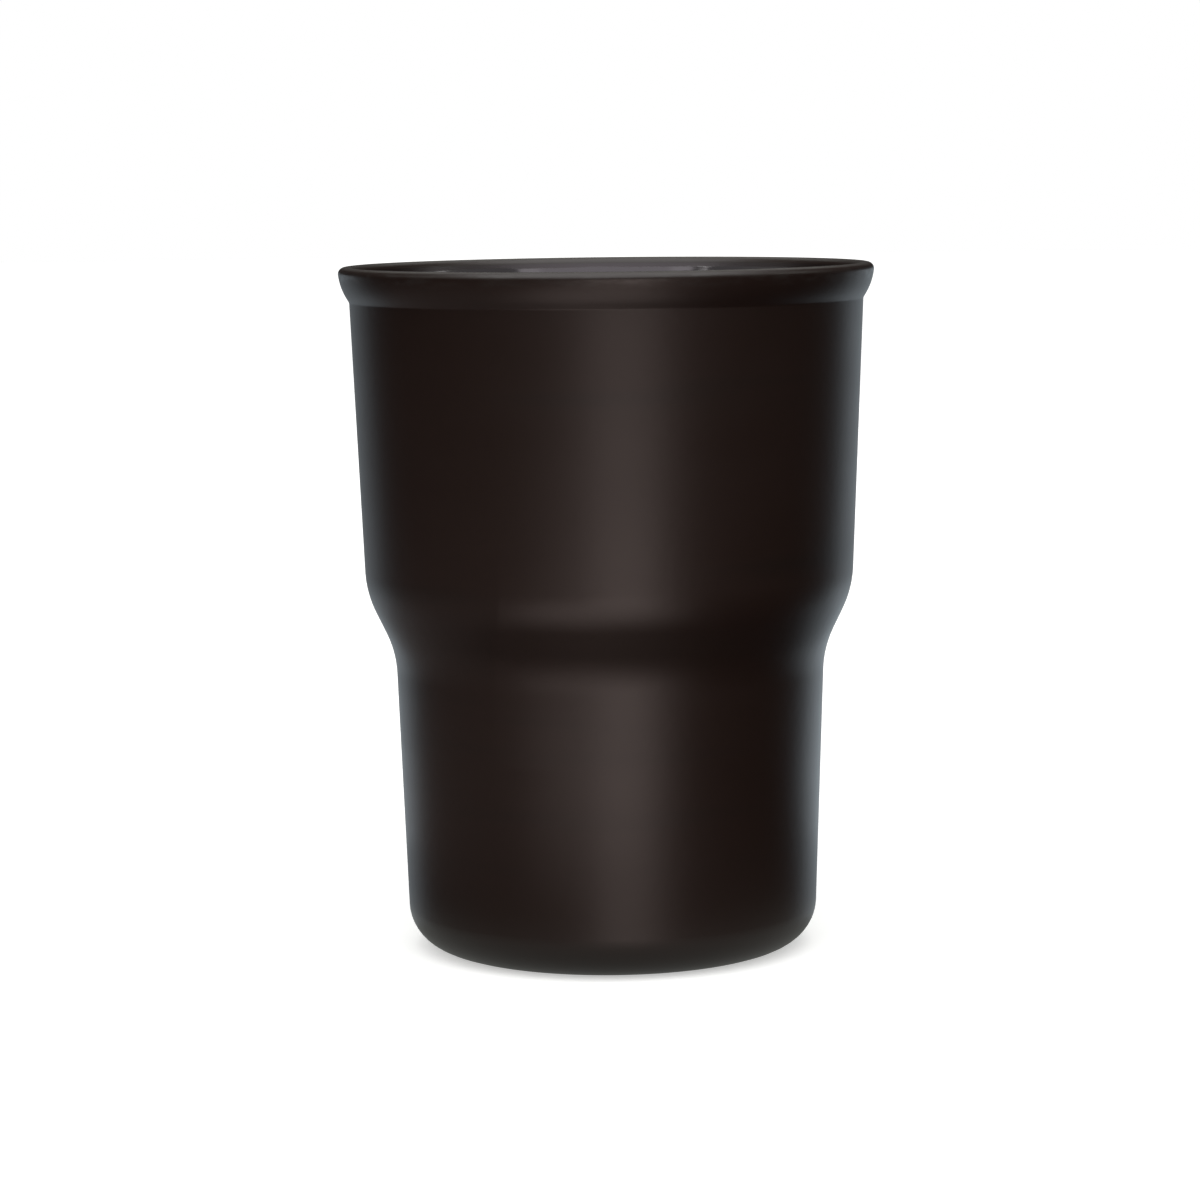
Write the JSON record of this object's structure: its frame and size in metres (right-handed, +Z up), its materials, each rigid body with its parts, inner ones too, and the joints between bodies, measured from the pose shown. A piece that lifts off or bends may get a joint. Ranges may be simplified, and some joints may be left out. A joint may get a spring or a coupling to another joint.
{
  "type": "candle jar",
  "caption": "Empty matte black glass candle jar with a flared lip, a straight upper wall, and a stacking shoulder down to a narrower lower wall.",
  "frame": {"origin": "on the jar's axis, in the plane of the ring that it stands on", "axes": "+Z up the jar's axis towards the mouth; +X and +Y are any two directions across it, because the jar is round"},
  "size_m": [0.08, 0.08, 0.1028],
  "materials": {
    "backed_glass": "glossy fire-polished glass that shows black because lacquer backs it, so it is opaque here",
    "matte_lacquer": "warm black baked lacquer, matte with a soft sheen, sprayed on glass"
  },
  "bodies": {
    "root": {"glass_body": "backed_glass", "lacquer_coat": "matte_lacquer"}
  },
  "joints": []
}
